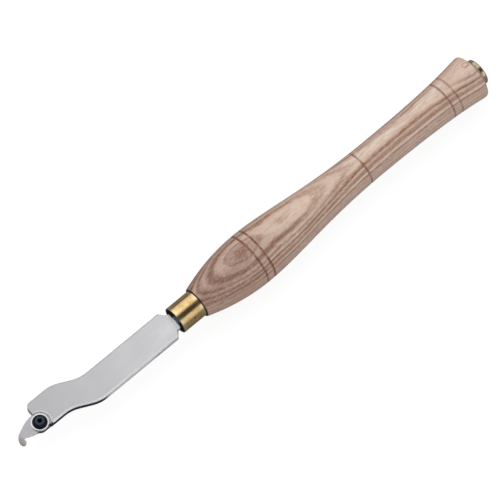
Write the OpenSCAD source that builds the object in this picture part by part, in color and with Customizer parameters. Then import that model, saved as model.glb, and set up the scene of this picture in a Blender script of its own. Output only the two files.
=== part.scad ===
// Hollowing tool for wood turning: a cranked flat steel bar that carries a clamped hook cutter,
// set through a brass ferrule into a turned ash handle with a brass butt cap.
// It lies along X with the cutter at +X. +Z is up, square to the bar's flat face, and +Y is the
// side that the hook turns to. The origin is under the middle of the tool, on the surface it lies on.

/* [Ferrule] */
// Length of the ferrule
ferrule_length = 19.5; // [12:0.1:26]
// Outer diameter of the ferrule
ferrule_d = 20.2; // [18.5:0.1:22]
// Wall of the ferrule
ferrule_wall = 1.2; // [0.8:0.1:1.8]
// Chamfer on the ferrule's outer edges
ferrule_chamfer = 0.4; // [0.1:0.1:0.7]
// Diameter of the punch mark that locks the ferrule
punch_d = 2.2; // [1.2:0.1:3]
// Depth of the punch mark
punch_depth = 0.5; // [0.2:0.1:0.7]
// Distance of the punch mark behind the ferrule's front edge
punch_at = 10.4; // [4:0.1:12]
// Turn of the punch mark from the top towards +Y, in degrees
punch_turn = 62; // [0:1:180]

/* [Handle] */
// Length from the ferrule's front edge to the wood's rear face
handle_length = 274.7; // [250:0.1:330]
// Diameter of the wood where it meets the ferrule
shoulder_d = 22.9; // [22.4:0.1:26]
// Rise of the wood's outline where it leaves the ferrule
shoulder_slope = 0.33; // [0.1:0.01:0.5]
// Distance of the thickest place behind the ferrule's front edge
belly_at = 68.6; // [50:0.1:90]
// Diameter at the thickest place
belly_d = 39.6; // [34:0.1:46]
// Distance of the thinnest place behind the ferrule's front edge
waist_at = 180; // [150:0.1:200]
// Diameter at the thinnest place
waist_d = 25.3; // [22.4:0.1:30]
// Diameter at the rear rim
rim_d = 33.8; // [31:0.1:40]
// Rounding of the rear rim
rim_round = 1.5; // [0.5:0.1:2.5]
// Steepness of the rear face, in degrees from the axis
rear_slope = 62; // [50:1:75]
// Distance of the wood's spigot end behind the ferrule's front edge
spigot_set_back = 2.5; // [0.5:0.1:5]
// Width of the burnt lines
line_width = 0.8; // [0.4:0.1:1.4]
// Depth of the burnt lines
line_depth = 0.35; // [0.1:0.05:0.7]
// Distance of the front pair of lines behind the ferrule's front edge
front_lines_at = 69.3; // [40:0.1:80]
// Spacing of the front pair of lines
front_lines_apart = 6.4; // [2:0.1:10]
// Distance of the single middle line behind the ferrule's front edge
middle_line_at = 167.2; // [120:0.1:200]
// Distance of the rear pair of lines in front of the wood's rear face
rear_lines_before_end = 28.5; // [14:0.1:45]
// Spacing of the rear pair of lines
rear_lines_apart = 6.6; // [2:0.1:10]

/* [Butt cap] */
// Diameter of the cap
cap_d = 19.9; // [12:0.1:22]
// Height of the cap at its middle
cap_height = 4; // [2.4:0.1:6]
// Height of the cap's straight edge
cap_edge = 2.1; // [0.3:0.1:2.2]
// Diameter of the cap's spigot in the wood
cap_spigot_d = 8; // [4:0.1:11]
// Length of the cap's spigot
cap_spigot_length = 14; // [6:0.5:25]

/* [Bar] */
// Width of the bar
bar_width = 21.6; // [20:0.1:22.5]
// Thickness of the bar
bar_thickness = 7; // [6.8:0.1:9]
// Bevel along the bar's long edges
bar_bevel = 1.2; // [0.4:0.1:1.3]
// Gap from the ferrule to the bar's rear end
bar_gap = 0.8; // [0.5:0.1:5]
// Bevel round the bar's rear end
rear_bevel = 2; // [0.5:0.1:2]
// Width of the bar's narrowed rear end
neck_width = 13.3; // [12.5:0.1:15]
// Length of the narrowed rear end in front of its bevel
neck_length = 0.4; // [0.2:0.1:4]
// Length of the sloped shoulders in front of the neck
shoulder_length = 3.1; // [1:0.1:8]
// Distance from the ferrule to the start of the crank
crank_at = 69.3; // [40:0.1:80]
// Radius of the crank's bends
crank_radius = 24; // [15:0.5:40]
// Angle of the crank's slope
crank_angle = 26.5; // [18:0.1:30]
// Length of the crank's straight slope between its bends
crank_slope = 9.2; // [2:0.1:14]
// Length of the straight bar in front of the crank
front_length = 16.2; // [10:0.1:30]
// Rounding of the bar's far corner
corner_radius = 3.6; // [1:0.1:5]
// Diameter of the tang
tang_d = 6.5; // [5:0.1:6.6]
// Length of the tang inside the handle, from the ferrule's front edge
tang_length = 70; // [40:1:120]

/* [Cutter seat] */
// Distance of the screw in front of the bar's end face
screw_before_end = 0.3; // [0:0.1:1.5]
// Distance of the screw from the bar's +Y edge
screw_from_edge = 5.9; // [5.9:0.1:7]
// Radius of the rounded nose under the cutter
nose_radius = 5.2; // [4.5:0.1:5.2]
// Distance of the bar's cut back edge beside the nose from the screw
nose_side = 5.4; // [5.4:0.1:5.8]
// Gap between the cutter's round tail and the wall of its round seat
seat_gap = 1.6; // [0.8:0.1:1.8]
// Thickness of the cutter
cutter_thickness = 3; // [2:0.1:3.6]
// Radius of the cutter's round tail
tail_radius = 6.2; // [6:0.1:7]
// Reach of the cutter's nose in front of the screw
cutter_reach = 19; // [17:0.1:24]
// Distance of the cutter's back from the screw's axis
back_height = 7.4; // [7.3:0.1:8.4]
// Distance of the cutter's back step in front of the screw
back_step = 0.5; // [0.3:0.1:1.2]
// Drop of the hook's lowest point from the screw's axis
hook_drop = 5.2; // [4.8:0.1:6.5]
// Distance of the hook's hollow from the screw's axis
hollow_drop = 1.4; // [1:0.1:2]

/* [Clamp screw] */
// Diameter of the thread
thread_d = 5; // [4:0.1:5.2]
// Radial clearance of the thread and of the cutter's hole
thread_clearance = 0.05; // [0.02:0.01:0.1]
// Length of the screw under its head
screw_length = 7.5; // [5:0.5:7.5]
// Diameter of the head
head_d = 9.5; // [8:0.1:10]
// Height of the head
head_height = 2.8; // [2.4:0.1:3.6]
// Height of the head's straight edge under its dome
head_edge = 0.4; // [0.2:0.1:0.8]
// Diameter of the head's flat top
head_top_d = 5; // [4.6:0.1:6]
// Width across the flats of the socket
socket_width = 3; // [2.5:0.1:4]
// Depth of the socket
socket_depth = 1.6; // [1:0.1:1.9]
// Outer diameter of the washer
washer_d = 12.6; // [11:0.1:12.8]
// Hole of the washer
washer_hole_d = 5.3; // [5.3:0.1:6.2]
// Thickness of the washer
washer_thickness = 1.2; // [1:0.1:2]
// Chamfer on the washer's top edge
washer_chamfer = 0.4; // [0.1:0.1:0.7]

/* [Hidden] */

// Radial gap of glued joints
glue_gap = 0.05;
// How far a cutting shape reaches past what it cuts
past = 1;
// Steps in a curved stretch of the handle's outline, in a bend of the bar and in the cutter's outline
handle_steps = 16;
bend_steps = 12;
cutter_steps = 10;
// Shares of a curved stretch that its outline takes to leave and to reach its ends
front_pull = [0.317, 0.354];
middle_pull = [0.263, 0.49];
rear_pull = [0.787, 0.065];
// Shares of the cap's radius and height that shape its dome
dome_shoulder = 0.8;
dome_flat = 0.62;

ferrule_bore_r = ferrule_d / 2 - ferrule_wall;
spigot_r = ferrule_bore_r - glue_gap;
cap_seat_r = cap_d / 2 + 0.2;

// The rear rim is an arc that is tangent to the outline and to the sloped rear face
rim_arc_end = 90 - rear_slope;
rear_face_r = rim_d / 2 - rim_round + rim_round * sin(rim_arc_end);
rear_face_run = (rear_face_r - cap_seat_r) / tan(rear_slope);
rim_at = handle_length - rear_face_run - rim_round * cos(rim_arc_end);

neck_at = bar_gap + rear_bevel;
shoulder_at = neck_at + neck_length;
full_width_at = shoulder_at + shoulder_length;
bend_run = crank_radius * sin(crank_angle);
bend_offset = crank_radius * (1 - cos(crank_angle));
crank_run = 2 * bend_run + crank_slope * cos(crank_angle);
crank_offset = 2 * bend_offset + crank_slope * sin(crank_angle);
front_at = crank_at + crank_run;
end_at = front_at + front_length;
screw_x = end_at + screw_before_end;
screw_y = bar_width / 2 - crank_offset - screw_from_edge;
seat_radius = tail_radius + seat_gap;

tip_x = screw_x + cutter_reach;
butt_x = -(handle_length + cap_height);
middle_x = (tip_x + butt_x) / 2;
axis_z = belly_d / 2;

function bezier(a, b, c, d, steps) = [for (i = [0 : steps]) let (t = i / steps)
    pow(1 - t, 3) * a + 3 * t * pow(1 - t, 2) * b + 3 * t * t * (1 - t) * c + pow(t, 3) * d];

function arc(centre, r, from, to, steps) = [for (i = [0 : steps])
    let (a = from + (to - from) * i / steps) centre + r * [cos(a), sin(a)]];

// Outline of the wood from the ferrule to the rear rim, as radius and distance from the ferrule's front
function stretch(from, to, rise, pull, steps) = let (run = to[1] - from[1])
    bezier(from, from + run * pull[0] * [rise, 1], to - run * pull[1] * [0, 1], to, steps);
front_stretch = stretch([shoulder_d / 2, ferrule_length], [belly_d / 2, belly_at],
                        shoulder_slope, front_pull, handle_steps);
middle_stretch = stretch([belly_d / 2, belly_at], [waist_d / 2, waist_at],
                         0, middle_pull, handle_steps + 4);
rear_stretch = stretch([waist_d / 2, waist_at], [rim_d / 2, rim_at], 0, rear_pull, handle_steps);
rim_arc = [for (p = arc([rim_at, rim_d / 2 - rim_round], rim_round, 90, rim_arc_end, 5)) [p[1], p[0]]];
wood_outline = concat(
    [[0, spigot_set_back], [spigot_r, spigot_set_back], [spigot_r, ferrule_length]],
    front_stretch,
    [for (i = [1 : len(middle_stretch) - 1]) middle_stretch[i]],
    [for (i = [1 : len(rear_stretch) - 1]) rear_stretch[i]],
    [for (i = [1 : len(rim_arc) - 1]) rim_arc[i]],
    [[cap_seat_r, handle_length], [0, handle_length]]);

// Radius of the wood at a distance from the ferrule's front
function wood_radius(at) = lookup(at, [for (p = concat(front_stretch,
    [for (i = [1 : len(middle_stretch) - 1]) middle_stretch[i]],
    [for (i = [1 : len(rear_stretch) - 1]) rear_stretch[i]])) [p[1], p[0]]]);

line_places = [
    front_lines_at - front_lines_apart / 2,
    front_lines_at + front_lines_apart / 2,
    middle_line_at,
    handle_length - rear_lines_before_end - rear_lines_apart / 2,
    handle_length - rear_lines_before_end + rear_lines_apart / 2
];

// Moves a shape from the tool's own axis, with x from the ferrule's front, to the part's frame
module placed() translate([-middle_x, 0, axis_z]) children();

// Turns a round shape so that its height runs back along the handle
module turned() placed() rotate([0, -90, 0]) children();

// Places a shape on the screw's axis, with its height from the bar's middle plane
module on_screw(height = 0) placed() translate([screw_x, screw_y, height]) children();

module burnt_line(at) {
    r = wood_radius(at);
    rotate_extrude($fn = 96) polygon([
        [r - line_depth, at],
        [r + line_depth, at - line_width],
        [r + line_depth, at + line_width]
    ]);
}

module handle() color([0.76, 0.62, 0.52]) turned() difference() {
    rotate_extrude($fn = 96) polygon(wood_outline);
    translate([0, 0, spigot_set_back - past])
        cylinder(r = tang_d / 2 + glue_gap, h = tang_length + past, $fn = 48);
    translate([0, 0, handle_length - cap_spigot_length - past])
        cylinder(r = cap_spigot_d / 2 + glue_gap, h = cap_spigot_length + 2 * past, $fn = 48);
    for (at = line_places) burnt_line(at);
}

module ferrule() color([0.80, 0.64, 0.28]) turned() difference() {
    outer = ferrule_d / 2;
    rotate_extrude($fn = 96) polygon([
        [ferrule_bore_r, 0],
        [outer - ferrule_chamfer, 0],
        [outer, ferrule_chamfer],
        [outer, ferrule_length - ferrule_chamfer],
        [outer - ferrule_chamfer, ferrule_length],
        [ferrule_bore_r, ferrule_length]
    ]);
    // The punch mark is a shallow cap of a ball
    ball_r = (pow(punch_d / 2, 2) + pow(punch_depth, 2)) / (2 * punch_depth);
    rotate([0, 0, punch_turn]) translate([outer - punch_depth + ball_r, 0, punch_at])
        sphere(r = ball_r, $fn = 48);
}

module butt_cap() color([0.78, 0.62, 0.28]) turned() rotate_extrude($fn = 96) polygon(concat(
    [[0, handle_length - cap_spigot_length], [cap_spigot_d / 2, handle_length - cap_spigot_length],
     [cap_spigot_d / 2, handle_length], [cap_d / 2, handle_length]],
    bezier([cap_d / 2, handle_length + cap_edge],
           [cap_d / 2, handle_length + cap_edge + (cap_height - cap_edge) * dome_shoulder],
           [cap_d / 2 * dome_flat, handle_length + cap_height],
           [0, handle_length + cap_height], 8)));

// The bar's sections from the ferrule to its end, each as [x, y, half width, half thickness]
half_w = bar_width / 2;
half_t = bar_thickness / 2;
bar_sections = concat(
    [[bar_gap, 0, neck_width / 2 - rear_bevel, half_t - rear_bevel],
     [neck_at, 0, neck_width / 2, half_t],
     [shoulder_at, 0, neck_width / 2, half_t],
     [full_width_at, 0, half_w, half_t]],
    [for (i = [0 : bend_steps]) let (a = crank_angle * i / bend_steps)
        [crank_at + crank_radius * sin(a), crank_radius * (cos(a) - 1), half_w, half_t]],
    [for (i = [0 : bend_steps]) let (a = crank_angle * (1 - i / bend_steps))
        [front_at - crank_radius * sin(a), crank_radius * (1 - cos(a)) - crank_offset, half_w, half_t]],
    [[end_at, -crank_offset, half_w, half_t]]);

// An eight-sided outline with bevelled corners, as [y, z]
function bevelled(w, h, e) = [[w, e - h], [w, h - e], [w - e, h], [e - w, h],
                              [-w, h - e], [-w, e - h], [e - w, -h], [w - e, -h]];

module bar() {
    rings = len(bar_sections);
    polyhedron(
        points = [for (s = bar_sections, c = bevelled(s[2], s[3], bar_bevel)) [s[0], s[1] + c[0], c[1]]],
        faces = concat(
            [[for (j = [0 : 7]) j]],
            [for (i = [0 : rings - 2], j = [0 : 7]) let (k = (j + 1) % 8)
                [8 * i + j, 8 * i + 8 + j, 8 * i + 8 + k, 8 * i + k]],
            [[for (j = [0 : 7]) 8 * rings - 1 - j]]));
}

module far_corner_cut() translate([end_at, -crank_offset - bar_width / 2, -bar_thickness])
    linear_extrude(2 * bar_thickness) polygon(concat(
        [[past, -past], [past, corner_radius]],
        arc([-corner_radius, corner_radius], corner_radius, 0, -90, 12),
        [[-corner_radius, -past]]));

module shank() color([0.74, 0.74, 0.76]) placed() difference() {
    union() {
        bar();
        translate([screw_x, screw_y, -bar_thickness / 2])
            cylinder(r = nose_radius, h = bar_thickness / 2, $fn = 96);
        rotate([0, 90, 0]) translate([0, 0, -tang_length])
            cylinder(d = tang_d, h = tang_length + neck_at, $fn = 48);
    }
    far_corner_cut();
    translate([screw_x, screw_y, 0]) {
        cylinder(r = seat_radius, h = bar_thickness, $fn = 96);
        translate([-sqrt(pow(seat_radius, 2) - pow(screw_from_edge, 2)), nose_side, -bar_thickness])
            cube([2 * seat_radius, screw_from_edge, 2 * bar_thickness]);
        translate([0, 0, -bar_thickness])
            cylinder(r = thread_d / 2 + thread_clearance, h = 2 * bar_thickness, $fn = 48);
    }
}

// Plan of the cutter from the screw's axis, with x towards the nose and y to the hook's side
hook_x = cutter_reach - 4;
nose_top = [cutter_reach - 3.3, 4.5 - back_height];
hook_tip = [cutter_reach - 1.7, hook_drop];
tooth = [hook_x, hook_drop - 1.7];
hollow = [cutter_reach - 5.3, hollow_drop];
step = [hook_x - 6, hollow_drop + 1.9];
tail_side = [3.9, tail_radius * 0.77];
cutter_plan = concat(
    bezier([back_step, -back_height], [6.5, -back_height], [nose_top[0] - 5.1, nose_top[1] - 2.5],
           nose_top, cutter_steps),
    bezier(nose_top, nose_top + [2.3, 1.2], [cutter_reach, 0.4], [cutter_reach, 2.4], cutter_steps),
    bezier([cutter_reach, 2.4], [cutter_reach, 4], hook_tip + [1, -0.1], hook_tip, cutter_steps),
    [hook_tip - [1.2, 0.4], tooth + [0.3, 0.7]],
    bezier(tooth, tooth + [0.7, -0.4], hollow + [2.1, 0], hollow, cutter_steps),
    bezier(hollow, hollow - [1, 0], hollow + [-1.4, 0.9], hollow + [-2.8, 1.1], cutter_steps),
    bezier(step, step + [-1.4, 0.6], tail_side + [2, -0.7], tail_side, cutter_steps),
    [[back_step, tail_side[1]]]);

module cutter() color([0.70, 0.70, 0.73]) on_screw() difference() {
    union() {
        linear_extrude(cutter_thickness) polygon(cutter_plan);
        cylinder(r = tail_radius, h = cutter_thickness, $fn = 96);
    }
    translate([0, 0, -past])
        cylinder(r = thread_d / 2 + thread_clearance, h = cutter_thickness + 2 * past, $fn = 48);
}

module washer() color([0.86, 0.86, 0.87]) on_screw(cutter_thickness) difference() {
    outer = washer_d / 2;
    rotate_extrude($fn = 96) polygon([
        [0, 0], [outer, 0], [outer, washer_thickness - washer_chamfer],
        [outer - washer_chamfer, washer_thickness], [0, washer_thickness]
    ]);
    translate([0, 0, -past]) cylinder(d = washer_hole_d, h = washer_thickness + 2 * past, $fn = 48);
}

module cap_screw() color([0.10, 0.11, 0.14]) on_screw(cutter_thickness + washer_thickness) difference() {
    head_r = head_d / 2;
    top_r = head_top_d / 2;
    rotate_extrude($fn = 96) polygon(concat(
        [[0, -screw_length], [thread_d / 2, -screw_length], [thread_d / 2, 0], [head_r, 0]],
        bezier([head_r, head_edge], [head_r, head_edge + (head_height - head_edge) * dome_flat],
               [top_r + (head_r - top_r) * dome_flat, head_height], [top_r, head_height], 8),
        [[0, head_height]]));
    translate([0, 0, head_height - socket_depth])
        cylinder(d = socket_width / cos(30), h = socket_depth + past, $fn = 6);
}

handle();
ferrule();
shank();
cutter();
washer();
cap_screw();
butt_cap();
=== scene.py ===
"""Looks of a wood turner's hollowing tool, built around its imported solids.

A cranked flat bar with a clamped hook cutter stands in a brass ferrule and a turned ash handle, which a brass
cap closes. Sizes are in millimetres in the tool's own frame: x from the ferrule's front face towards the
cutter, y to the side that the hook turns to, z up from the handle's axis. at() turns them into the frame's
metres.
"""
import math

import bpy
from mathutils import Matrix, Vector


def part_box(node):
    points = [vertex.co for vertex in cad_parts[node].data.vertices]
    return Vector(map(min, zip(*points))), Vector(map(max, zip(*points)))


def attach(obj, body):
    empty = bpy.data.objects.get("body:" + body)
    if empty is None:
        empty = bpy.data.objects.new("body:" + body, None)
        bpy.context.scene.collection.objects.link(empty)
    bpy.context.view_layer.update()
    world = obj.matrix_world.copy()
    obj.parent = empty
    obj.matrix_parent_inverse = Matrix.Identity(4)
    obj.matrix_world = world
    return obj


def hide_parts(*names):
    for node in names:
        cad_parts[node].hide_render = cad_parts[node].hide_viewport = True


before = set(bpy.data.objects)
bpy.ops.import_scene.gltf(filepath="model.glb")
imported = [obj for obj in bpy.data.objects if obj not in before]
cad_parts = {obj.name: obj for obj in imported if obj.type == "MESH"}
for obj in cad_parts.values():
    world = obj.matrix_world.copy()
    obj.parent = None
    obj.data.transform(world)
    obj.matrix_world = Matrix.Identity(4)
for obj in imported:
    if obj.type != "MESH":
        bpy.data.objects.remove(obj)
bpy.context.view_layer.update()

MM = 0.001
PHOTO_SIZE = 500

# Places that the pieces share with the solids, in metres
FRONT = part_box("ferrule")[1][0]
AXIS_Z = (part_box("ferrule")[0][2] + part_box("ferrule")[1][2]) / 2
screw_low, screw_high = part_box("cap_screw")
SCREW_X = ((screw_low[0] + screw_high[0]) / 2 - FRONT) / MM
SCREW_Y = (screw_low[1] + screw_high[1]) / 2 / MM

# Clearance of fitted pieces, and the radius at which a turned profile ends on its axis
FIT = 0.05
CENTRE = 0.01

# Ferrule and handle
FERRULE_LENGTH = 19.5
FERRULE_R = 10.1
FERRULE_BORE_R = 8.9
MARK_AT, MARK_TURN, MARK_R, MARK_DEPTH = 10.4, math.radians(62), 1.1, 0.5
HANDLE_LENGTH = 274.7
BELLY_R, BELLY_AT = 19.8, 68.6
WAIST_R, WAIST_AT = 12.65, 180
SHOULDER_R, SHOULDER_SLOPE = 11.45, 0.33
RIM_R, RIM_ROUND, REAR_SLOPE = 16.9, 1.5, 62
SPIGOT_SET_BACK = 2.5
LINES_AT = [66.1, 72.5, 167.2, 242.9, 249.5]
LINE_WIDTH, LINE_DEPTH = 0.8, 0.35
LINE_HEAT = [1.0, 1.0, 0.75, 0.75, 0.55]   # how dark each is burnt
CAP_R, CAP_HEIGHT, CAP_EDGE, CAP_GAP = 9.95, 4.0, 2.1, 0.2
TANG_R, TANG_LENGTH = 3.25, 70
CAP_SPIGOT_R, CAP_SPIGOT_LENGTH = 4.0, 14

# Bar and cutter
HALF_W, HALF_T, BAR_BEVEL = 10.8, 3.5, 1.2
BAR_EASE, CUTTER_EASE = 0.18, 0.15   # how far sharp edges are eased
BAR_GAP, REAR_BEVEL, NECK_HALF_W, NECK_LENGTH, SHOULDER_LENGTH = 0.8, 2.0, 6.65, 0.4, 3.1
REAR_NARROWING, REAR_THINNING = 0.6, 0.66   # how far the rear bevel takes the bar's sides and faces in
CRANK_AT, CRANK_R, CRANK_ANGLE, CRANK_SLOPE, FRONT_LENGTH = 69.3, 24, 26.5, 9.2, 16.2
CORNER_R, NOSE_R, NOSE_SIDE = 3.6, 5.2, 5.4
TAIL_R, SEAT_R, CUTTER_THICKNESS = 6.2, 7.8, 3.0
REACH, BACK_HEIGHT, BACK_STEP, HOOK_DROP, HOLLOW_DROP = 19.0, 7.4, 0.5, 5.2, 1.4
THREAD_R, THREAD_DEPTH, THREAD_PITCH, THREAD_RUNOUT, SCREW_LENGTH = 2.5, 0.4, 0.8, 0.8, 7.5
HEAD_R, HEAD_HEIGHT, HEAD_EDGE, HEAD_TOP_R = 4.75, 2.8, 0.4, 2.5
SOCKET_WIDTH, SOCKET_DEPTH = 3.0, 1.6
WASHER_R, WASHER_HOLE_R, WASHER_THICKNESS, WASHER_CHAMFER = 6.3, 2.65, 1.2, 0.4


def at(x, y, z):
    """A point of the tool, in millimetres, in the frame's metres."""
    return (FRONT + x * MM, y * MM, AXIS_Z + z * MM)


def bezier(a, b, c, d, steps):
    """Points of a cubic curve, both ends included."""
    points = []
    for i in range(steps + 1):
        t = i / steps
        share = ((1 - t) ** 3, 3 * t * (1 - t) ** 2, 3 * t * t * (1 - t), t ** 3)
        points.append(tuple(sum(w * p[k] for w, p in zip(share, (a, b, c, d))) for k in (0, 1)))
    return points


def arc(centre, radius, start, end, steps):
    """Points of an arc, in degrees."""
    angles = [math.radians(start + (end - start) * i / steps) for i in range(steps + 1)]
    return [(centre[0] + radius * math.cos(a), centre[1] + radius * math.sin(a)) for a in angles]


# Shader maths

class Field:
    """A value or colour in a node tree, with arithmetic."""

    def __init__(self, paint, socket):
        self.paint, self.socket = paint, socket

    def maths(self, how, *inputs):
        return self.paint.node("ShaderNodeMath", {"operation": how}, dict(enumerate(inputs)))

    def __add__(self, other):
        return self.maths("ADD", self, other)

    __radd__ = __add__

    def __mul__(self, other):
        return self.maths("MULTIPLY", self, other)

    __rmul__ = __mul__

    def __sub__(self, other):
        return self.maths("SUBTRACT", self, other)

    def __rsub__(self, other):
        return self.maths("SUBTRACT", other, self)

    def __truediv__(self, other):
        return self.maths("DIVIDE", self, other)

    def __pow__(self, other):
        return self.maths("POWER", self, other)

    def __abs__(self):
        return self.maths("ABSOLUTE", self)

    def most(self, other):
        return self.maths("MAXIMUM", self, other)

    def least(self, other):
        return self.maths("MINIMUM", self, other)

    def sine(self):
        return self.maths("SINE", self)

    def angle(self, other):
        return self.maths("ARCTAN2", self, other)

    def step(self, low, high):
        """0 below low, 1 above high, smooth between."""
        return self.paint.node("ShaderNodeMapRange", {"interpolation_type": "SMOOTHSTEP"},
                               {0: self, 1: low, 2: high, 3: 0.0, 4: 1.0})

    def between(self, rise, full, fall, end):
        """0 below rise and above end, 1 from full to fall, smooth between."""
        return self.step(rise, full) * (1 - self.step(fall, end))


class Paint:
    """A node tree that is filled node by node."""

    def __init__(self, tree):
        self.tree = tree
        tree.nodes.clear()

    def node(self, kind, settings=None, sockets=None, out=0):
        """Any node: its settings first, then the values or links of its sockets."""
        made = self.tree.nodes.new(kind)
        for key, value in (settings or {}).items():
            setattr(made, key, value)
        for key, value in (sockets or {}).items():
            self.put(made.inputs[key], value)
        if made.outputs:
            return Field(self, made.outputs[out])

    def put(self, socket, value):
        if isinstance(value, Field):
            self.tree.links.new(value.socket, socket)
        elif socket.type == "RGBA":
            socket.default_value = (*value, 1)
        else:
            socket.default_value = value

    def apart(self, vector):
        first = self.node("ShaderNodeSeparateXYZ", sockets={0: vector})
        return [Field(self, output) for output in first.socket.node.outputs]

    def vector(self, x, y, z):
        return self.node("ShaderNodeCombineXYZ", sockets={0: x, 1: y, 2: z})

    def noise(self, place, scales, detail=2.0, rough=0.5, warp=0.0):
        """Noise by place, with a scale for each of its three parts."""
        vector = self.vector(*(part * scale for part, scale in zip(place, scales)))
        return self.node("ShaderNodeTexNoise", sockets={
            "Vector": vector, "Scale": 1.0, "Detail": detail, "Roughness": rough, "Distortion": warp})

    def ramp(self, value, low, high, stops, top=1):
        """A value that goes through stops of (value between low and high, result up to top)."""
        made = self.node("ShaderNodeValToRGB", sockets={0: (value - low) / (high - low)})
        elements = made.socket.node.color_ramp.elements
        while len(elements) < len(stops):
            elements.new(1.0)
        for element, (place, result) in zip(elements, stops):
            grey = result / top
            element.position = (place - low) / (high - low)
            element.color = (grey, grey, grey, 1)
        return made if top == 1 else made * top

    def mix(self, a, b, share, how="MIX"):
        """Colour a going over to colour b."""
        settings = {"data_type": "RGBA", "blend_type": how}
        return self.node("ShaderNodeMix", settings, {0: share, 6: a, 7: b}, out=2)

    def seen(self):
        """Shares of what the camera sees, and of what a gloss or a glass sees."""
        camera = self.node("ShaderNodeLightPath")
        rays = camera.socket.node.outputs
        return camera, Field(self, rays["Is Glossy Ray"]).most(Field(self, rays["Is Transmission Ray"]))


class Material(Paint):
    """A procedural material on one Principled shader."""

    def __init__(self, name):
        self.material = bpy.data.materials.new(name)
        self.material.use_nodes = True
        super().__init__(self.material.node_tree)
        shader = self.node("ShaderNodeBsdfPrincipled")
        self.node("ShaderNodeOutputMaterial", sockets={0: shader})
        self.inputs = shader.socket.node.inputs

    def place(self):
        """Object coordinates as x, y and z of the tool, in millimetres."""
        x, y, z = self.apart(self.node("ShaderNodeTexCoord", out="Object"))
        return (x - FRONT) / MM, y / MM, (z - AXIS_Z) / MM

    def facing(self):
        """The x, y and z of the surface's direction."""
        return self.apart(self.node("ShaderNodeNewGeometry", out="Normal"))

    def bump(self, height, distance):
        return self.node("ShaderNodeBump", sockets={"Height": height, "Distance": distance * MM})

    def finish(self, **sockets):
        names = {"colour": "Base Color", "rough": "Roughness", "metal": "Metallic", "coat": "Coat Weight",
                 "normal": "Normal", "gloss": "Specular IOR Level", "coat_rough": "Coat Roughness"}
        for key, value in sockets.items():
            self.put(self.inputs[names[key]], value)
        return self.material


# Materials

# The wood's layers lie nearly flat along the handle, tilted to its side, so that turning it opens them as
# ovals on the belly and as lines on the sides. Each layer is (its level, how dark it is), and on the belly a
# level is about its height above the axis
LAYERS = [(-14, 0.10), (-9, 0.45), (-7.4, 0.04), (-5.6, 0.55), (-4.2, 0.04), (-2.8, 0.66), (-1.6, 0.04),
          (-0.3, 0.70), (0.9, 0.04), (2.2, 0.72), (2.8, 0.15), (3.5, 0.45), (4.4, 0.20), (5.4, 0.62),
          (6.0, 0.30), (6.6, 0.05), (7.3, 0.35), (8.0, 0.72), (8.4, 0.58), (8.9, 0.66), (9.8, 0.30),
          (10.9, 0.82), (12.0, 0.15), (13.1, 0.68), (14.3, 0.20), (15.7, 0.76), (16.3, 0.62), (17.3, 0.10),
          (18.1, 0.24), (18.5, 0.60), (18.9, 0.42), (19.6, 0.70)]
# Thin lines run between the layers, so many levels apart
LINE_SPACING = 1.15
# Where the layers lie along the handle, each as (distance back, value): the height above the axis of one pale
# layer, how many levels a millimetre of height holds, and the layers' tilt to the side
PALE_LEVEL = 6.8
PALE_HEIGHTS = [(20, 6.3), (40, 6.7), (64, 6.8), (78, 6.9), (90, 6.4), (110, 6.4), (130, 6.4), (150, 6.9),
                (165, 7.4), (185, 7.9), (200, 8.1), (240, 8.8), (270, 9.1)]
LEVELS_PER_MM = [(60, 1.0), (85, 0.87), (115, 1.1), (150, 1.0), (200, 1.02), (270, 1.0)]
LAYER_TILT = [(60, 0.124), (90, 0.15), (110, 0.17), (150, 0.25), (230, 0.24), (265, 0.18)]
# A small knot by the rim: distance back, y, radii and how far it lifts the layers
KNOT_AT, KNOT_Y, KNOT_LONG, KNOT_WIDE, KNOT_RISE = 268.0, -4.8, 3.4, 2.8, 1.5

# Colours of the ash, the first two each with a darker one for the handle's front end
PALE_ASH = (0.78, 0.58, 0.46), (0.58, 0.39, 0.31)
BROWN_ASH = (0.34, 0.135, 0.07), (0.22, 0.08, 0.045)
# Painted shade on the hook's side: darker near the ferrule, a little greyer behind it
HOOK_SIDE_FRONT_SHADE = (0.22, 0.12, 0.085)
HOOK_SIDE_GREY_SHADE = (0.88, 0.92, 0.96)
# A pale painted highlight
PALE_PAINTED_HIGHLIGHT = (0.97, 0.88, 0.82)
PORE, FLECK = (0.17, 0.09, 0.06), (0.82, 0.68, 0.59)
SCORCHED = (0.19, 0.065, 0.04)
END_GRAIN = (0.58, 0.45, 0.40)
# Painted shade in the seam at the ferrule
FERRULE_SEAM_SHADE = (0.012, 0.013, 0.018)


def ash_layers(p, here):
    """The level of the layers at each place, and the ripple and the knot that disturb them."""
    back, y, z = here
    pale_height = p.ramp(back, 0, 280, PALE_HEIGHTS, top=20)
    spread = p.ramp(back, 0, 280, LEVELS_PER_MM, top=2)
    tilt = p.ramp(back, 0, 280, LAYER_TILT)
    sway = p.noise(here, (0.035, 0.10, 0.10), detail=1.0) - 0.5
    ripple = p.noise(here, (0.16, 0.55, 0.55), detail=3.0, rough=0.6) - 0.5
    from_knot = (((back - KNOT_AT) / KNOT_LONG) ** 2 + ((y - KNOT_Y) / KNOT_WIDE) ** 2) ** 0.5
    knot = (1 - from_knot).most(0) * z.step(0, 4)
    level = (z - y * tilt - pale_height) * spread + PALE_LEVEL
    return level + sway * 0.8 + ripple * 0.75 + knot * KNOT_RISE, ripple, knot


def burnt_lines(back):
    """1 along the middle of the lines burnt round the handle, less where one is fainter."""
    burnt = 0
    for line, heat in zip(LINES_AT, LINE_HEAT):
        near = (1 - abs(back - line) / (LINE_WIDTH * 1.35)).most(0)
        burnt = burnt + (near * 2).least(1) * heat
    return burnt


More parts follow.
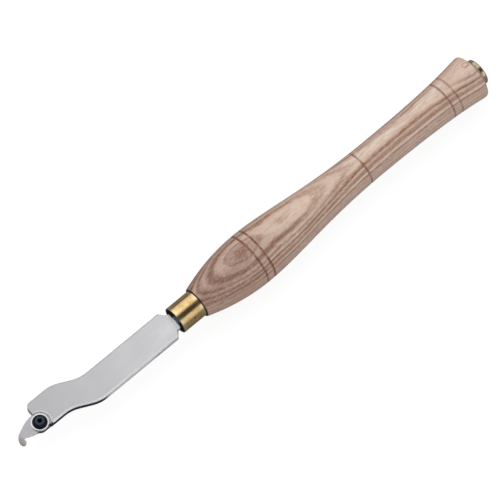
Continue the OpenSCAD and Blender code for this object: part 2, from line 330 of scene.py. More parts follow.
def ash_wood():
    """Oiled ash: pale wood, brown layers that close into ovals on the belly, open pores and burnt lines."""
    p = Material("turned_ash")
    x, y, z = p.place()
    back = x * -1
    here = back, y, z
    level, ripple, knot = ash_layers(p, here)
    front = 1 - back.step(30, 110)
    high = level.step(9, 15)
    low = 1 - level.step(4, 7)
    # The layers are fainter high up behind the belly, and on the far side near the rim
    dark = p.ramp(level, -20, 20, LAYERS).step(0.06, 0.92) * (1 - high * back.step(85, 130) * 0.45)
    thin = (level * (2 * math.pi / LINE_SPACING) + ripple * 4).sine()
    dark = (dark + thin * (0.10 - high * 0.05)).most(0)
    far_side = 1 - y.step(-4, 3)
    dark = dark * (1 - level.step(8.5, 10.5) * back.step(215, 245) * far_side * 0.65)
    # The knot has a dark ring
    dark = dark + knot.between(0.1, 0.3, 0.45, 0.7) * 0.4
    # Figure within the layers: long fibres, mottled light patches, and pores in the dark wood
    fibre = p.noise(here, (0.07, 0.8, 0.8), detail=4.0, rough=0.7) - 0.5
    mottle = p.noise(here, (0.22, 0.5, 0.5), detail=3.0, rough=0.6, warp=0.6) - 0.5
    pores = p.noise(here, (0.25, 1.1, 1.1), detail=3.0, rough=0.75)
    pore = pores.step(0.54, 0.66) * (dark * 0.7 + 0.3)
    # Two broad brown bands: low on the sides, and past the ovals' end on the hook's side
    side_band = level.between(2.5, 4, 5.6, 6.8) * (1 - front)
    oval_end = (1 - abs(level - 11.8) / 1.8).most(0) * back.between(95, 115, 158, 172) * y.step(0, 4)
    tone = dark + side_band * 0.28 + oval_end * 0.32 - low * (0.05 + front * 0.1)
    tone = (tone + fibre * 0.8 + mottle * (0.3 + high * 0.6)).most(0).least(1)
    wood = p.mix(p.mix(*PALE_ASH, front), p.mix(*BROWN_ASH, front), tone)
    # Painted shade darkens the hook's side near the ferrule, and greys it a little behind it
    wood = p.mix(wood, HOOK_SIDE_FRONT_SHADE, front * y.step(-6, 4) * z.step(2, 9) * 0.36)
    wood = p.mix(wood, HOOK_SIDE_GREY_SHADE, (1 - front) * y.step(-1, 7), how="MULTIPLY")
    wood = p.mix(wood, PORE, pore * 0.5)
    fleck = p.noise(here, (0.45, 0.9, 0.6), detail=3.0, rough=0.7).step(0.52, 0.68)
    wood = p.mix(wood, FLECK, fleck * 0.35)
    # A pale painted highlight in streaks, high on the side away from the hook, from the waist to the rim
    painted_highlight = back.between(140, 165, 235, 255) * y.between(-10, -7, -4, 0) * z.step(0, 4)
    streak = p.noise(here, (0.09, 0.55, 0.55)).step(0.42, 0.62)
    wood = p.mix(wood, PALE_PAINTED_HIGHLIGHT, painted_highlight * streak * 0.4)
    burnt = burnt_lines(back)
    scorched = p.noise(here, (0.4, 0.25, 0.25)).step(0.3, 0.65)
    wood = p.mix(wood, SCORCHED, burnt * (0.5 + scorched * 0.4))
    # Painted shade, almost black, in the seam where the wood meets the ferrule
    seam_shade = 1 - (back - FERRULE_LENGTH).step(0.0, 0.4)
    wood = p.mix(wood, FERRULE_SEAM_SHADE, seam_shade)
    end_grain = (p.facing()[0] * -1).step(0.45, 0.7) * back.step(250, 255)
    wood = p.mix(wood, END_GRAIN, end_grain * 0.5)
    return p.finish(colour=wood, rough=0.40 + dark * 0.08 + burnt * 0.25 + seam_shade * 0.3, gloss=0.45,
                    coat=0.5 - burnt * 0.4, coat_rough=0.27, normal=p.bump(fibre - pore, 0.04))


# Colours of the brass, bright and dull, and how aged each piece is
FERRULE_BRASS = (0.91, 0.64, 0.30), (0.50, 0.34, 0.16)
CAP_BRASS = (0.82, 0.66, 0.42), (0.28, 0.22, 0.13)
FERRULE_AGE, CAP_AGE = 0.6, 1.2
# Paler brass for the painted highlights at the ferrule's ends
BRASS_END_HIGHLIGHT = (1.0, 0.84, 0.50)
# Painted shade on the ferrule's front face and in its bore, also used for the punch mark
BRASS_SHADE_AND_GRIME = (0.03, 0.031, 0.04)


def brass(name, age, bright, dull, bored=False):
    """Brass with fine turning lines, bright or dull in patches. The bored piece is the ferrule."""
    p = Material(name)
    here = x, y, z = p.place()
    turning = p.noise(here, (5.0, 0.10, 0.10))
    cloud = p.noise(here, (0.25, 0.25, 0.25), detail=4.0, rough=0.65)
    tarnish = (cloud.step(0.40, 0.75) * age + (turning - 0.5) * 0.5 * age).most(0).least(1)
    metal = p.mix(bright, dull, tarnish)
    rough = 0.19 + tarnish * 0.2 + (turning - 0.5) * 0.12
    if not bored:
        return p.finish(colour=metal, metal=1.0, rough=rough, normal=p.bump(turning, 0.01))
    # Both ends are painted paler and brighter: painted highlights
    end_highlight = x.step(-3.5, -1.5) + 1 - x.step(1.5 - FERRULE_LENGTH, 3.5 - FERRULE_LENGTH)
    metal = p.mix(metal, BRASS_END_HIGHLIGHT, end_highlight * 0.55)
    # The front face and the bore are painted almost black as painted shade, and the punch mark is darkened
    # with them
    inside = 1 - ((y * y + z * z) ** 0.5).step(FERRULE_BORE_R + 0.1, FERRULE_BORE_R + 0.4)
    mark_y, mark_z = FERRULE_R * math.sin(MARK_TURN), FERRULE_R * math.cos(MARK_TURN)
    from_mark = ((x + MARK_AT) ** 2 + (y - mark_y) ** 2 + (z - mark_z) ** 2) ** 0.5
    mark = 1 - from_mark.step(MARK_R * 0.6, MARK_R * 1.4)
    shade_and_grime = x.step(-0.45, -0.05).most(inside).most(mark)
    metal = p.mix(metal, BRASS_SHADE_AND_GRIME, shade_and_grime)
    return p.finish(colour=metal, metal=1 - shade_and_grime, rough=rough + shade_and_grime * 0.3, normal=p.bump(turning, 0.01))


def from_screw_axis(x, y):
    """The distance from the screw's axis."""
    return ((x - SCREW_X) ** 2 + (y - SCREW_Y) ** 2) ** 0.5


# Colours of the bar. Its ground faces go from light at the ferrule to grey near the cutter over some length,
# as painted light
GROUND_WITH_FALLING_LIGHT = (0.75, 0.75, 0.77), (0.54, 0.54, 0.56)
GROUND_LENGTH = 110
STREAKED, SCRATCHED = (0.52, 0.52, 0.54), (0.50, 0.50, 0.51)
# Bevels, polished and painted lighter as a highlight
BEVEL_HIGHLIGHT = (0.84, 0.84, 0.86)      # bevels
# Painted light: the seat and the rear slope are painted pale and matt, lit in the seat's shade and as a
# highlight on the slope
PALE_PAINTED_LIGHT = (0.95, 0.95, 0.96)      # seat and rear slope
# The sides are painted with reflections: a dark one of the shade below the bar, and a bright one
SIDE_DARK_REFLECTION, SIDE_BRIGHT_REFLECTION = (0.030, 0.040, 0.065), (0.93, 0.94, 0.96)      # unground sides
# Painted shade in the seat's corner, and painted shade with grime on the tang before the ferrule
SEAT_CORNER_SHADE, TANG_SHADE_AND_GRIME = (0.03, 0.034, 0.05), (0.26, 0.275, 0.33)
# The place of the painted shade in the seat's corner: how far behind the screw, and y
CORNER_BACK, CORNER_Y = 5.2, 1.3


def bar_steel():
    """Ground flat faces and pocket, and darker unground sides, with painted light, shade and reflections."""
    p = Material("ground_bar_steel")
    here = x, y, z = p.place()
    ahead, _, up = p.facing()
    up = abs(up)
    side = 1 - up.step(0.25, 0.5)
    # The bevels get a painted highlight
    polished_highlight = up.between(0.3, 0.5, 0.93, 0.98)
    from_screw = from_screw_axis(x, y)
    # The seat's wall and floor are painted pale and matt as painted light, and the rear slope as a painted
    # highlight
    seat_wall = from_screw.step(SEAT_R - 0.6, SEAT_R - 0.3)
    seat_painted_light = (1 - from_screw.step(SEAT_R + 0.2, SEAT_R + 0.6)) * seat_wall.most(up.step(0.8, 0.95))
    slope_end = BAR_GAP + REAR_BEVEL
    rear_slope = x.between(BAR_GAP - 0.1, BAR_GAP + 0.1, slope_end - 0.2, slope_end)
    matt = seat_painted_light.most(rear_slope * up.step(0.3, 0.5))
    cloud = p.noise(here, (0.05, 0.08, 0.08), detail=4.0, rough=0.6)
    grinding = p.noise(here, (0.5, 5.0, 5.0))
    scratch = p.noise(here, (0.25, 2.2, 2.2), detail=3.0, rough=0.7).step(0.62, 0.72)
    streak = p.noise(here, (0.04, 0.9, 0.9)).step(0.35, 0.75)
    # A painted fall of light: light at the ferrule, grey towards the cutter
    ground = p.mix(*GROUND_WITH_FALLING_LIGHT, (x / GROUND_LENGTH).most(0).least(1))
    ground = p.mix(ground, STREAKED, cloud.step(0.35, 0.7) * 0.2 + streak * 0.12)
    ground = p.mix(ground, SCRATCHED, scratch * 0.3)
    # The unground sides are painted bright as far as the crank, a painted reflection, and so are the faces
    # that look ahead
    bright_reflection = (1 - x.step(CRANK_AT - 3.3, CRANK_AT + 4.7)) * (x.step(24, 32) * 0.15 + 0.85)
    bright_reflection = bright_reflection.most(ahead.step(0.5, 0.8) * 0.8)
    colour = p.mix(ground, BEVEL_HIGHLIGHT, polished_highlight * 0.9)
    colour = p.mix(p.mix(colour, p.mix(SIDE_DARK_REFLECTION, SIDE_BRIGHT_REFLECTION, bright_reflection), side), PALE_PAINTED_LIGHT, matt)
    # Painted shade in the seat's corner
    corner = 1 - ((x - SCREW_X + CORNER_BACK) ** 2 + (y - CORNER_Y) ** 2).step(1.2, 3.4)
    matt = matt * (1 - corner)
    colour = p.mix(colour, SEAT_CORNER_SHADE, corner)
    # Painted shade and grime on the tang, between the bar and the ferrule
    shade_and_grime = 1 - x.step(BAR_GAP - 0.2, BAR_GAP)
    colour = p.mix(colour, TANG_SHADE_AND_GRIME, shade_and_grime)
    metal = (1 - matt) * (1 - shade_and_grime) * (1 - polished_highlight * 0.6) * (1 - side * bright_reflection * 0.7)
    rough = 0.33 + (cloud - 0.5) * 0.08 - polished_highlight * 0.13 + matt * 0.25
    return p.finish(colour=colour, metal=metal, rough=rough, normal=p.bump(grinding, 0.006))


# Colours of the cutter: faces and honed edge before and behind the heat, the honed edge painted pale as
# painted light, and sides, dark, and light round the tail
CUTTER_FACE = (0.58, 0.58, 0.61), (0.44, 0.39, 0.39)
HONED_PAINTED_LIGHT = (0.86, 0.86, 0.88), (0.42, 0.36, 0.33)
CUTTER_SIDE = (0.13, 0.13, 0.14), (0.9, 0.9, 0.9)


def cutter_steel():
    """Ground tool steel, brown from heat at the nose."""
    p = Material("hardened_cutter_steel")
    here = x, y, z = p.place()
    side = 1 - abs(p.facing()[2]).step(0.25, 0.5)
    reach = x - SCREW_X
    across = y - SCREW_Y
    cloud = p.noise(here, (0.2, 0.3, 0.3), detail=3.0)
    heat = (reach + (cloud - 0.5) * 5).step(REACH - 5.5, REACH - 0.5)
    by_tail = (1 - (reach ** 2 + across ** 2).step(41, 44)) * (1 - across.step(1, 2))
    # The honed edge on the hook's side is painted pale and not metallic: painted light
    honed_light = side * across.step(0, 1) * reach.step(4.5, 6.5)
    colour = p.mix(p.mix(*CUTTER_FACE, heat), p.mix(*CUTTER_SIDE, by_tail), side)
    colour = p.mix(colour, p.mix(*HONED_PAINTED_LIGHT, heat), honed_light)
    grinding = p.noise(here, (3.0, 0.6, 3.0))
    return p.finish(colour=colour, metal=1 - honed_light * 0.85, rough=0.38 + cloud * 0.08,
                    normal=p.bump(grinding, 0.006))


# Colours of the washer, clean and scuffed, and of the painted shadow round the screw's head
PLATED, SCUFFED, HEAD_SHADOW = (0.90, 0.90, 0.92), (0.76, 0.76, 0.78), (0.03, 0.03, 0.035)


def washer_steel():
    """Bright plated steel, with a painted shadow round the screw's head."""
    p = Material("bright_washer_steel")
    here = x, y, z = p.place()
    scuff = p.noise(here, (0.6, 0.6, 0.6), detail=4.0)
    colour = p.mix(PLATED, SCUFFED, scuff.step(0.45, 0.8))
    # A painted shadow round the screw's head
    colour = p.mix(HEAD_SHADOW, colour, from_screw_axis(x, y).step(HEAD_R + 0.35, HEAD_R + 0.7))
    return p.finish(colour=colour, metal=1.0, rough=0.26 + scuff * 0.1)


# Colours of the blackened screw, the painted reflection on its crown and the painted shade in its socket
BLACKENED, CROWN_REFLECTION, SOCKET_SHADE = (0.005, 0.008, 0.015), (0.040, 0.054, 0.074), (0.002, 0.003, 0.005)


def black_steel():
    """Blackened screw steel, painted a little greyer on the head's crown as a painted reflection, and darker
    in the socket as painted shade.
    """
    p = Material("blackened_screw_steel")
    here = x, y, z = p.place()
    out = from_screw_axis(x, y)
    # A painted reflection makes the crown greyer
    crown_reflection = 1 - out.step(HEAD_R * 0.55, HEAD_R * 0.78)
    grain = p.noise(here, (1.2, 1.2, 1.2), detail=3.0)
    top = CUTTER_THICKNESS + WASHER_THICKNESS + HEAD_HEIGHT
    # Painted shade in the socket
    socket = (1 - z.step(top - 0.3, top - 0.1)) * (1 - out.step(SOCKET_WIDTH * 0.6, SOCKET_WIDTH * 0.65))
    colour = p.mix(BLACKENED, CROWN_REFLECTION, crown_reflection * (0.6 + grain * 0.8))
    colour = p.mix(colour, SOCKET_SHADE, socket)
    return p.finish(colour=colour, metal=0.0, rough=0.42 + grain * 0.12 + socket * 0.4, gloss=0.15)


# Meshes

def piece(name, node, body, slot, material, vertices, faces, sharp=32):
    """A finished mesh that stands for a CAD node."""
    mesh = bpy.data.meshes.new(name)
    mesh.from_pydata(vertices, [], faces)
    mesh.validate()
    return dressed(name, node, body, material, mesh, sharp)


def dressed(name, node, body, material, mesh, sharp=32):
    """A mesh shaded and placed as a piece: smooth on its round sides, and flat on its level faces."""
    mesh.shade_smooth()
    mesh.set_sharp_from_angle(angle=math.radians(sharp))
    for face in mesh.polygons:
        face.use_smooth = abs(face.normal.z) < 0.9999
    mesh.materials.clear()
    mesh.materials.append(material)
    made = bpy.data.objects.new(name, mesh)
    bpy.context.scene.collection.objects.link(made)
    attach(made, body)
    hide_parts(node)
    return made


def skin(rings, loop=False):
    """Vertices and faces of a tube through rings of equally many points, closed at its ends or in a loop."""
    count = len(rings[0])
    vertices = [at(*point) for ring in rings for point in ring]
    faces = []
    for i in range(len(rings) if loop else len(rings) - 1):
        low, high = i * count, (i + 1) % len(rings) * count
        faces += [(low + j, low + (j + 1) % count, high + (j + 1) % count, high + j) for j in range(count)]
    if not loop:
        faces.append(tuple(range(count))[::-1])
        faces.append(tuple(range(len(vertices) - count, len(vertices))))
    return vertices, faces


def round_handle(profile, steps):
    """Rings round the handle's axis from (radius, distance back from the ferrule's front) points."""
    angles = [2 * math.pi * j / steps for j in range(steps)]
    return [[(-back, r * math.sin(a), r * math.cos(a)) for a in angles] for r, back in profile]


def screw_ring(angles, radii, height):
    """A ring round the screw's axis with a radius for each angle."""
    return [(SCREW_X + r * math.cos(a), SCREW_Y + r * math.sin(a), height) for a, r in zip(angles, radii)]


def round_screw(profile, steps):
    """Rings round the screw's axis from (radius, height above the bar's middle) points."""
    angles = [2 * math.pi * j / steps for j in range(steps)]
    return [screw_ring(angles, [r] * steps, h) for r, h in profile]


def stretch(start, end, rise, pull, steps):
    """A stretch of the wood's outline, as (radius, distance back)."""
    run = end[1] - start[1]
    return bezier(start, (start[0] + run * pull[0] * rise, start[1] + run * pull[0]),
                  (end[0], end[1] - run * pull[1]), end, steps)


def wood_outline():
    """The turned outline from the ferrule to the rim, with the burnt lines sunk in it."""
    end = 90 - REAR_SLOPE
    rear_face_r = RIM_R - RIM_ROUND + RIM_ROUND * math.sin(math.radians(end))
    rear_run = (rear_face_r - CAP_R - CAP_GAP) / math.tan(math.radians(REAR_SLOPE))
    rim_at = HANDLE_LENGTH - rear_run - RIM_ROUND * math.cos(math.radians(end))
    coarse = (stretch((SHOULDER_R, FERRULE_LENGTH), (BELLY_R, BELLY_AT), SHOULDER_SLOPE, (0.317, 0.354), 60)
              + stretch((BELLY_R, BELLY_AT), (WAIST_R, WAIST_AT), 0, (0.263, 0.49), 80)[1:]
              + stretch((WAIST_R, WAIST_AT), (RIM_R, rim_at), 0, (0.787, 0.065), 60)[1:])
    points, k = [], 0
    places = {p[1] for p in coarse[1:-1]}
    for line in LINES_AT:
        places |= {line + LINE_WIDTH * s / 6 for s in range(-8, 9)}
    for place in sorted(places):
        while coarse[k + 1][1] < place:
            k += 1
        (r0, b0), (r1, b1) = coarse[k], coarse[k + 1]
        r = r0 + (r1 - r0) * (place - b0) / (b1 - b0)
        sink = sum(LINE_DEPTH * math.exp(-((place - line) / (LINE_WIDTH * 0.55)) ** 2) for line in LINES_AT)
        points.append((r - sink, place))
    # The wood's edge at the ferrule is eased
    eased = [(SHOULDER_R - 0.5, FERRULE_LENGTH), (SHOULDER_R - 0.12, FERRULE_LENGTH + 0.1),
             (SHOULDER_R + 0.05, FERRULE_LENGTH + 0.4)]
    points = eased + [p for p in points if p[1] > FERRULE_LENGTH + 0.6]
    rim = [(q, b) for b, q in arc((rim_at, RIM_R - RIM_ROUND), RIM_ROUND, 90, end, 8)]
    return points + rim + [(CAP_R + CAP_GAP, HANDLE_LENGTH)]


def turned_handle():
    """The handle with its spigot and the blind bores for the tang and the cap."""
    bore = TANG_R + FIT
    bore_end = TANG_LENGTH + SPIGOT_SET_BACK
    seat = CAP_SPIGOT_R + FIT
    seat_end = HANDLE_LENGTH - CAP_SPIGOT_LENGTH - 1
    spigot = FERRULE_BORE_R - FIT
    profile = ([(CENTRE, bore_end), (bore, bore_end), (bore, SPIGOT_SET_BACK), (spigot, SPIGOT_SET_BACK),
                (spigot, FERRULE_LENGTH)]
               + wood_outline()
               + [(seat, HANDLE_LENGTH), (seat, seat_end), (CENTRE, seat_end)])
    piece("turned_handle", "handle", "grip_and_bar", "ash", ash_wood(), *skin(round_handle(profile, 160)))


def ferrule_tube(material):
    """The ferrule with rounded rims and the punch mark that locks it."""
    rim = 0.5
    outside = ([(FERRULE_R - rim + q, b) for b, q in arc((rim, 0), rim, 180, 90, 5)]
               + [(FERRULE_R, rim + (FERRULE_LENGTH - 2 * rim) * i / 50) for i in range(1, 50)]
               + [(FERRULE_R - rim + q, b) for b, q in arc((FERRULE_LENGTH - rim, 0), rim, 90, 0, 5)])
    inside = [(FERRULE_BORE_R, FERRULE_LENGTH), (FERRULE_BORE_R, 0.25), (FERRULE_BORE_R + 0.25, 0)]
    rings = round_handle(outside + inside, 192)
    for ring in rings[:len(outside)]:
        for j, (x, y, z) in enumerate(ring):
            r, turn = math.hypot(y, z), math.atan2(y, z)
            away = math.hypot(-x - MARK_AT, r * (turn - MARK_TURN)) / MARK_R
            if away < 1:
                deep = r - MARK_DEPTH * (1 - away * away)
                ring[j] = (x, deep * math.sin(turn), deep * math.cos(turn))
    piece("ferrule_tube", "ferrule", "grip_and_bar", "brass", material, *skin(rings, loop=True), sharp=50)


def butt_disc(material):
    """The domed cap with the spigot that is glued in the handle."""
    spigot_end = HANDLE_LENGTH - CAP_SPIGOT_LENGTH
    edge = HANDLE_LENGTH + CAP_EDGE
    top = HANDLE_LENGTH + CAP_HEIGHT
    chamfer = 0.2
    dome = bezier((CAP_R, edge), (CAP_R, edge + (CAP_HEIGHT - CAP_EDGE) * 0.8),
                  (CAP_R * 0.62, top), (CENTRE, top), 24)
    profile = [(CENTRE, spigot_end), (CAP_SPIGOT_R, spigot_end), (CAP_SPIGOT_R, HANDLE_LENGTH),
               (CAP_R - chamfer, HANDLE_LENGTH), (CAP_R, HANDLE_LENGTH + chamfer)] + dome
    piece("butt_disc", "butt_cap", "grip_and_bar", "brass", material, *skin(round_handle(profile, 128)))


def blank(name, vertices, faces):
    """A closed mesh that is used for cutting and joining, and doesn't stay."""
    mesh = bpy.data.meshes.new(name)
    mesh.from_pydata(vertices, [], faces)
    mesh.validate()
    made = bpy.data.objects.new(name, mesh)
    bpy.context.scene.collection.objects.link(made)
    return made


def prism(name, outline, low, high):
    """A closed plate from an outline of (x, y) points."""
    rings = [[(x, y, h) for x, y in outline] for h in (low, high)]
    return blank(name, *skin(rings))


def worked(start, steps, bevel):
    """start with other shapes cut from it and joined to it, and its edges eased. All of the blanks go."""
    for how, other in steps:
        change = start.modifiers.new(how, "BOOLEAN")
        change.operation, change.object, change.solver = how, other, "EXACT"
    ease = start.modifiers.new("eased_edges", "BEVEL")
    ease.width, ease.segments, ease.limit_method, ease.angle_limit = bevel * MM, 2, "ANGLE", math.radians(35)
    bpy.context.view_layer.update()
    mesh = bpy.data.meshes.new_from_object(start.evaluated_get(bpy.context.evaluated_depsgraph_get()))
    for used in [start] + [other for _, other in steps]:
        bpy.data.objects.remove(used)
    return mesh


def round_plan(radius, steps=128):
    """A circle about the screw's axis, as (x, y) points."""
    return [(SCREW_X + x, SCREW_Y + y) for x, y in arc((0, 0), radius, 0, 360, steps)[:-1]]


def cranked_bar():
    """The bar along its crank, with the cutter's seat and screw hole cut in it, and the tang behind it."""
    neck_at = BAR_GAP + REAR_BEVEL
    wide_at = neck_at + NECK_LENGTH + SHOULDER_LENGTH
    turn = math.radians(CRANK_ANGLE)
    front_at = CRANK_AT + 2 * CRANK_R * math.sin(turn) + CRANK_SLOPE * math.cos(turn)
    offset = 2 * CRANK_R * (1 - math.cos(turn)) + CRANK_SLOPE * math.sin(turn)
    end_at = front_at + FRONT_LENGTH
    bend = [turn * i / 16 for i in range(17)]
    # Sections of the bar, as (x, its middle's y, half its width, half its thickness)
    sections = [(BAR_GAP, 0, NECK_HALF_W - REAR_NARROWING, HALF_T - REAR_THINNING),
                (neck_at, 0, NECK_HALF_W, HALF_T), (neck_at + NECK_LENGTH, 0, NECK_HALF_W, HALF_T),
                (wide_at, 0, HALF_W, HALF_T)]
    for a in bend:
        x, middle = CRANK_AT + CRANK_R * math.sin(a), CRANK_R * (math.cos(a) - 1)
        sections.append((x, middle, HALF_W, HALF_T))
    for a in reversed(bend):
        x, middle = front_at - CRANK_R * math.sin(a), CRANK_R * (1 - math.cos(a)) - offset
        sections.append((x, middle, HALF_W, HALF_T))
    sections.append((end_at, -offset, HALF_W, HALF_T))
    rings = []
    for x, middle, w, t in sections:
        e = BAR_BEVEL
        section = ((w, e - t), (w, t - e), (w - e, t), (e - w, t),
                   (-w, t - e), (-w, e - t), (e - w, -t), (w - e, -t))
        rings.append([(x, middle + y, z) for y, z in section])
    bar = blank("bar", *skin(rings))
    corner = (end_at - CORNER_R, CORNER_R - offset - HALF_W)
    past = 1
    corner_cut = prism("corner", arc(corner, CORNER_R, 0, -90, 16) + [
        (corner[0], corner[1] - CORNER_R - past), (end_at + past, corner[1] - CORNER_R - past),
        (end_at + past, corner[1])], -2 * HALF_T, 2 * HALF_T)
    lug = prism("lug", round_plan(NOSE_R), -HALF_T, 0)
    seat = prism("seat", round_plan(SEAT_R), 0, 2 * HALF_T)
    reach = math.sqrt(SEAT_R ** 2 - (HALF_W - offset - SCREW_Y) ** 2)
    beside = prism("beside", [(SCREW_X + x, SCREW_Y + y) for x, y in (
        (-reach, NOSE_SIDE), (2 * SEAT_R, NOSE_SIDE), (2 * SEAT_R, 2 * SEAT_R), (-reach, 2 * SEAT_R))],
        -2 * HALF_T, 2 * HALF_T)
    hole = prism("hole", round_plan(THREAD_R + FIT, 64), -2 * HALF_T, 2 * HALF_T)
    tang = blank("tang", *skin(round_handle([(TANG_R, -neck_at), (TANG_R, TANG_LENGTH)], 48)))
    steps = [("UNION", lug), ("DIFFERENCE", corner_cut), ("DIFFERENCE", seat), ("DIFFERENCE", beside),
             ("DIFFERENCE", hole), ("UNION", tang)]
    mesh = worked(bar, steps, BAR_EASE)
    dressed("cranked_bar", "shank", "grip_and_bar", bar_steel(), mesh)


def hook_cutter():
    """The flat cutter: its back from the tail to the nose, then the hook and the hollow back to the tail."""
    hook_x = REACH - 4
    nose_top = (REACH - 3.3, 4.5 - BACK_HEIGHT)
    tip = (REACH - 1.7, HOOK_DROP)
    tooth = (hook_x, HOOK_DROP - 1.7)
    hollow = (REACH - 5.3, HOLLOW_DROP)
    dip = (hook_x - 6, HOLLOW_DROP + 1.9)
    tail = (3.9, TAIL_R * 0.77)
    plan = (bezier((BACK_STEP, -BACK_HEIGHT), (6.5, -BACK_HEIGHT),
                   (nose_top[0] - 5.1, nose_top[1] - 2.5), nose_top, 20)
            + bezier(nose_top, (nose_top[0] + 2.3, nose_top[1] + 1.2), (REACH, 0.4), (REACH, 2.4), 16)[1:]
            + bezier((REACH, 2.4), (REACH, 4), (tip[0] + 1, tip[1] - 0.1), tip, 12)[1:]
            + [(tip[0] - 1.2, tip[1] - 0.4), (tooth[0] + 0.3, tooth[1] + 0.7)]
            + bezier(tooth, (tooth[0] + 0.7, tooth[1] - 0.4), (hollow[0] + 2.1, hollow[1]), hollow, 16)
            + bezier(hollow, (hollow[0] - 1, hollow[1]), (hollow[0] - 1.4, hollow[1] + 0.9),
                     (hollow[0] - 2.8, hollow[1] + 1.1), 12)[1:]
            + bezier(dip, (dip[0] - 1.4, dip[1] + 0.6), (tail[0] + 2, tail[1] - 0.7), tail, 12)
            + [(BACK_STEP, tail[1])])
    blade = prism("blade", [(SCREW_X + x, SCREW_Y + y) for x, y in plan], 0, CUTTER_THICKNESS)
    tail_disc = prism("tail_disc", round_plan(TAIL_R), 0, CUTTER_THICKNESS)
    hole = prism("hole", round_plan(THREAD_R + FIT, 64), -1, CUTTER_THICKNESS + 1)
    mesh = worked(blade, [("UNION", tail_disc), ("DIFFERENCE", hole)], CUTTER_EASE)
    dressed("hook_cutter_blade", "cutter", "hook_cutter", cutter_steel(), mesh)


def clamp_washer():
    """The washer, rounded at its upper edge and chamfered at its lower one."""
    low, high = CUTTER_THICKNESS, CUTTER_THICKNESS + WASHER_THICKNESS
    edge = (WASHER_R - WASHER_CHAMFER, high - WASHER_CHAMFER)
    chamfer = 0.15
    profile = [(WASHER_HOLE_R, high), (WASHER_HOLE_R + 0.2, high), (edge[0], high)]
    profile += arc(edge, WASHER_CHAMFER, 80, 0, 6)
    profile += [(WASHER_R, low + chamfer), (WASHER_R - chamfer, low), (WASHER_HOLE_R, low)]
    rings = round_screw(profile, 128)
    piece("clamp_washer_ring", "washer", "clamp_washer", "washer_steel", washer_steel(),
          *skin([ring[::-1] for ring in rings], loop=True))


def button_screw():
    """The screw from its end up: thread, domed head and hexagon socket."""
    base = CUTTER_THICKNESS + WASHER_THICKNESS
    top = base + HEAD_HEIGHT
    steps = 96
    angles = [2 * math.pi * j / steps for j in range(steps)]
    run = HEAD_HEIGHT - HEAD_EDGE
    dome = bezier((HEAD_R, base + HEAD_EDGE), (HEAD_R, base + HEAD_EDGE + run * 0.62),
                  (HEAD_TOP_R + (HEAD_R - HEAD_TOP_R) * 0.62, top), (HEAD_TOP_R, top), 14)
    thread = []
    rise = 0.1
    for i in range(int(SCREW_LENGTH / rise) + 1):
        h = base - SCREW_LENGTH + i * rise
        depth = THREAD_DEPTH * min(1.0, (base - h) / THREAD_RUNOUT)
        waves = [(h / THREAD_PITCH - j / steps) % 1 for j in range(steps)]
        thread.append(screw_ring(angles, [THREAD_R - depth * abs(2 * wave - 1) for wave in waves], h))
    # The hexagon's radius at each angle, a little wider at its mouth
    flats = [(a + math.pi / 6) % (math.pi / 3) - math.pi / 6 for a in angles]
    hexagon = [SOCKET_WIDTH / 2 / math.cos(flat) for flat in flats]
    mouth = 0.12
    socket = [screw_ring(angles, [r * 1.06 for r in hexagon], top),
              screw_ring(angles, hexagon, top - mouth),
              screw_ring(angles, hexagon, top - SOCKET_DEPTH)]
    drill_tip = 0.3
    rings = (round_screw([(CENTRE, base - SCREW_LENGTH)], steps) + thread
             + round_screw([(HEAD_R - 0.15, base), (HEAD_R, base + 0.12)] + dome, steps) + socket
             + round_screw([(CENTRE, top - SOCKET_DEPTH - drill_tip)], steps))
    piece("button_screw", "cap_screw", "clamp_screw", "black_steel", black_steel(), *skin(rings), sharp=40)


# Camera, light and floor

# The camera's place as it was worked out from the photograph: where the picture's middle falls on the tool's
# middle plane, the direction back to the camera, its distance, and how steeply the tool lies in the picture
LOOK_AT = at(-71.69, -4.51, 0)
VIEW = Vector((0.259, 0.27, 0.927)).normalized()
CAMERA_DISTANCE = 2790 * MM
FOCAL_PIXELS = 4138
SLANT = math.radians(39.4455)

WORLD_LIGHT = 0.62
FLOOR_HALF = 4
FLOOR_COLOUR = (0.2, 0.2, 0.2)
FLOOR_GLOW, FLOOR_GLOW_IN_GLOSS = 0.88, 0.05
# What a gloss sees round the tool's axis, as (degrees from straight up towards the hook's side, brightness):
# soft white panels, with a gap between them that a polished tube shows as a dark stripe
PANELS = [(-180, 0.02), (-84, 0.02), (-72, 0.9), (-56, 1.28), (-40, 1.34), (-30, 1.5), (-20, 1.5),
          (-12, 1.12), (-6, 0.9), (0, 0.07), (36, 0.05), (44, 0.95), (54, 1.1), (78, 0.8), (92, 0.15),
          (110, 0.02), (180, 0.02)]
# Beyond the tip the panels are so much weaker, and behind the butt stands one plain panel of such brightness
PANELS_PAST_TIP, PANEL_BEHIND_BUTT = 0.6, 0.6


def add_camera():
    """The camera that took the photograph, with its long lens."""
    data = bpy.data.cameras.new("camera")
    data.sensor_width = 36
    data.lens = FOCAL_PIXELS / PHOTO_SIZE * data.sensor_width
    data.clip_end = 50
    along = (Vector((1, 0, 0)) - VIEW * VIEW.x).normalized()
    across = VIEW.cross(along)
    right = math.sin(SLANT) * across - math.cos(SLANT) * along
    down = math.sin(SLANT) * along + math.cos(SLANT) * across
    # The photograph was measured at the middles of its pixels
    half_pixel = 0.5 * CAMERA_DISTANCE / FOCAL_PIXELS
    place = Vector(LOOK_AT) - (right + down) * half_pixel + VIEW * CAMERA_DISTANCE
    camera = bpy.data.objects.new("camera", data)
    turned = Matrix((right, -down, VIEW)).transposed().to_4x4()
    camera.matrix_world = Matrix.Translation(place) @ turned
    bpy.context.scene.collection.objects.link(camera)
    bpy.context.scene.camera = camera


def add_lamp(name, place, size, power):
    """A soft lamp that faces the tool. A gloss sees the world's panels instead of it."""
    data = bpy.data.lights.new(name, "AREA")
    data.shape = "RECTANGLE"
    data.size, data.size_y = size
    data.energy = power
    lamp = bpy.data.objects.new(name, data)
    lamp.location = place
    lamp.rotation_euler = Vector(place).to_track_quat("Z", "Y").to_euler()
    lamp.visible_glossy = False
    bpy.context.scene.collection.objects.link(lamp)


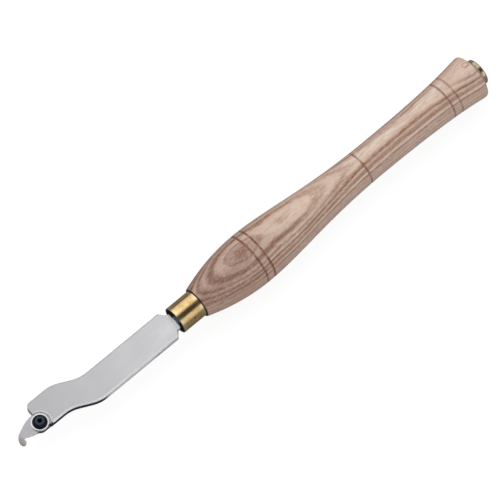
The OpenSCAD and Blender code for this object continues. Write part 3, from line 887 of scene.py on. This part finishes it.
def add_world():
    """A white world for the camera, soft panels for a gloss, and a plain light for the rest."""
    world = bpy.data.worlds.new("studio")
    bpy.context.scene.world = world
    world.use_nodes = True
    p = Paint(world.node_tree)
    camera, gloss = p.seen()
    x, y, z = p.apart(p.node("ShaderNodeTexCoord", out="Generated"))
    panels = p.ramp(y.angle(z) * (180 / math.pi), -180, 180, PANELS)
    panels = panels * (1 - x.step(0.78, 0.9) * PANELS_PAST_TIP)
    panels = panels * (1 - (x * -1).step(0.78, 0.9)) + (x * -1).step(0.78, 0.95) * PANEL_BEHIND_BUTT
    strength = camera + (1 - camera) * (gloss * panels + (1 - gloss) * WORLD_LIGHT)
    light = p.node("ShaderNodeBackground", sockets={1: strength})
    p.node("ShaderNodeOutputWorld", sockets={0: light})


def add_floor():
    """A plain floor that keeps the tool's shadow and is white to the camera."""
    mesh = bpy.data.meshes.new("floor")
    corners = [(x * FLOOR_HALF, y * FLOOR_HALF, 0) for x, y in ((-1, -1), (1, -1), (1, 1), (-1, 1))]
    mesh.from_pydata(corners, [], [(0, 1, 2, 3)])
    floor = bpy.data.objects.new("floor", mesh)
    bpy.context.scene.collection.objects.link(floor)
    material = bpy.data.materials.new("white_floor")
    material.use_nodes = True
    p = Paint(material.node_tree)
    camera, gloss = p.seen()
    matt = p.node("ShaderNodeBsdfDiffuse", sockets={0: FLOOR_COLOUR})
    glow = p.node("ShaderNodeEmission", sockets={1: camera * FLOOR_GLOW + gloss * FLOOR_GLOW_IN_GLOSS})
    both = p.node("ShaderNodeAddShader", sockets={0: matt, 1: glow})
    p.node("ShaderNodeOutputMaterial", sockets={0: both})
    mesh.materials.append(material)


turned_handle()
ferrule_tube(brass("ferrule_brass", FERRULE_AGE, *FERRULE_BRASS, bored=True))
butt_disc(brass("cap_brass", CAP_AGE, *CAP_BRASS))
cranked_bar()
hook_cutter()
clamp_washer()
button_screw()
add_camera()
add_world()
add_floor()
add_lamp("panel", (-0.3, -1.2, 1.0), (2.2, 0.9), 6)
add_lamp("key", (-0.3, -0.7, 1.9), (1.2, 1.2), 9)
add_lamp("fill", (0.1, 1.75, 0.3), (1.2, 1.0), 14)
bpy.context.scene.view_settings.view_transform = "Standard"
